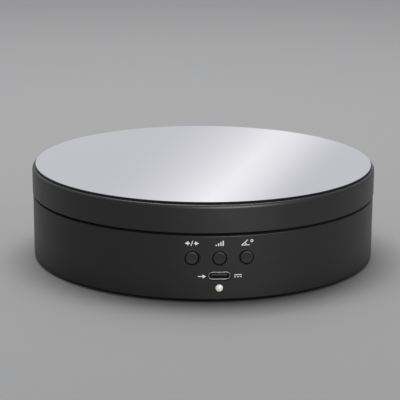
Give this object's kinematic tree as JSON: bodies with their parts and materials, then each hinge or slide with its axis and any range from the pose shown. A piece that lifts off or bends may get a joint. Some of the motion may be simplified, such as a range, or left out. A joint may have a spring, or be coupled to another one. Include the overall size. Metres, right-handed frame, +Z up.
{
  "type": "turntable display stand",
  "caption": "Low round motorised display turntable: a mirror-topped platter turns on a drum base with push buttons, a USB-C inlet and a power lamp.",
  "frame": {"origin": "on the floor, under the centre of the stand", "axes": "+Z up along the platter's axis; the buttons, inlet and lamp face -Y; +X to the right of someone who faces the controls"},
  "size_m": [0.15, 0.15, 0.0412],
  "materials": {
    "shell_black": "fine satin texture",
    "cover_black": "fine matte texture",
    "button_black": "satin",
    "mirror_silver": "polished mirror",
    "foot_rubber": "matte rubber",
    "lamp_lens": "milky lens",
    "inlet_steel": "drawn steel",
    "inlet_core": "moulded black",
    "screw_steel": "zinc plated",
    "race_steel": "ground steel",
    "ball_steel": "polished steel",
    "acetal_white": "natural acetal",
    "hub_brass": "machined",
    "motor_zinc": "zinc-plated sheet",
    "shaft_steel": "ground steel",
    "coil_copper": "enamelled copper winding",
    "magnet_grey": "sintered magnet",
    "tape_white": "foam tape",
    "board_green": "solder mask",
    "chip_black": "moulded epoxy",
    "plunger_black": "satin",
    "plug_white": "moulded nylon",
    "ribbon_grey": "flat five-wire lead"
  },
  "bodies": {
    "base": {"base_shell": "shell_black", "bottom_cover": "cover_black", "foot_1": "foot_rubber", "foot_2": "foot_rubber", "foot_3": "foot_rubber", "foot_4": "foot_rubber", "cover_screw_1": "screw_steel", "cover_screw_2": "screw_steel", "cover_screw_3": "screw_steel", "cover_screw_4": "screw_steel", "lower_race": "race_steel", "motor_can": "motor_zinc", "motor_plate": "motor_zinc", "motor_screw_1": "screw_steel", "motor_screw_2": "screw_steel", "stator_coil": "coil_copper", "train_plate": "motor_zinc", "motor_lead": "ribbon_grey", "lead_plug": "plug_white", "control_board": "board_green", "board_screw_1": "screw_steel", "board_screw_2": "screw_steel", "controller_chip": "chip_black", "direction_switch": "chip_black", "speed_switch": "chip_black", "angle_switch": "chip_black", "usb_shell": "inlet_steel", "usb_tongue": "inlet_core", "power_lamp": "lamp_lens"},
    "platter": {"platter_tray": "shell_black", "mirror_disc": "mirror_silver", "mirror_tape": "tape_white", "drive_hub": "hub_brass", "shaft_screw": "screw_steel", "upper_race": "race_steel", "output_shaft": "shaft_steel", "output_gear": "acetal_white"},
    "ball_ring": {"ball_cage": "acetal_white", "ball_1": "ball_steel", "ball_2": "ball_steel", "ball_3": "ball_steel", "ball_4": "ball_steel", "ball_5": "ball_steel", "ball_6": "ball_steel", "ball_7": "ball_steel", "ball_8": "ball_steel", "ball_9": "ball_steel", "ball_10": "ball_steel", "ball_11": "ball_steel", "ball_12": "ball_steel"},
    "motor_rotor": {"rotor": "magnet_grey"},
    "gear_one": {"train_gear_1": "acetal_white"},
    "gear_two": {"train_gear_2": "acetal_white"},
    "gear_three": {"train_gear_3": "acetal_white"},
    "button_direction": {"direction_button": "button_black", "direction_plunger": "plunger_black"},
    "button_speed": {"speed_button": "button_black", "speed_plunger": "plunger_black"},
    "button_angle": {"angle_button": "button_black", "angle_plunger": "plunger_black"}
  },
  "joints": [
    {"name": "platter_spin", "type": "hinge", "parent": "base", "child": "platter", "pos_m": [0, 0, 0], "axis": [0, 0, 1], "continuous": true},
    {"name": "ball_ring_roll", "type": "hinge", "parent": "base", "child": "ball_ring", "pos_m": [0, 0, 0], "axis": [0, 0, 1], "continuous": true},
    {"name": "gear_three_spin", "type": "hinge", "parent": "base", "child": "gear_three", "pos_m": [0.0056, 0.003, 0], "axis": [0, 0, 1], "continuous": true},
    {"name": "gear_two_spin", "type": "hinge", "parent": "base", "child": "gear_two", "pos_m": [0.0059, 0.00912, 0], "axis": [0, 0, 1], "continuous": true},
    {"name": "gear_one_spin", "type": "hinge", "parent": "base", "child": "gear_one", "pos_m": [0.00144, 0.01398, 0], "axis": [0, 0, 1], "continuous": true},
    {"name": "rotor_spin", "type": "hinge", "parent": "base", "child": "motor_rotor", "pos_m": [0, 0.008, 0], "axis": [0, 0, 1], "continuous": true},
    {"name": "direction_press", "type": "slide", "parent": "base", "child": "button_direction", "axis": [0, 1, 0], "range_m": [0, 0.0004], "stiffness_N_per_m": 2500, "springref_m": -0.0002},
    {"name": "speed_press", "type": "slide", "parent": "base", "child": "button_speed", "axis": [0, 1, 0], "range_m": [0, 0.0004], "stiffness_N_per_m": 2500, "springref_m": -0.0002},
    {"name": "angle_press", "type": "slide", "parent": "base", "child": "button_angle", "axis": [0, 1, 0], "range_m": [0, 0.0004], "stiffness_N_per_m": 2500, "springref_m": -0.0002}
  ],
  "couplings": [
    {"joint": "ball_ring_roll", "follows": "platter_spin", "ratio": 0.5},
    {"joint": "gear_three_spin", "follows": "platter_spin", "ratio": -3.1},
    {"joint": "gear_two_spin", "follows": "platter_spin", "ratio": 8.9556},
    {"joint": "gear_one_spin", "follows": "platter_spin", "ratio": -17.911},
    {"joint": "rotor_spin", "follows": "platter_spin", "ratio": 63.684}
  ]
}
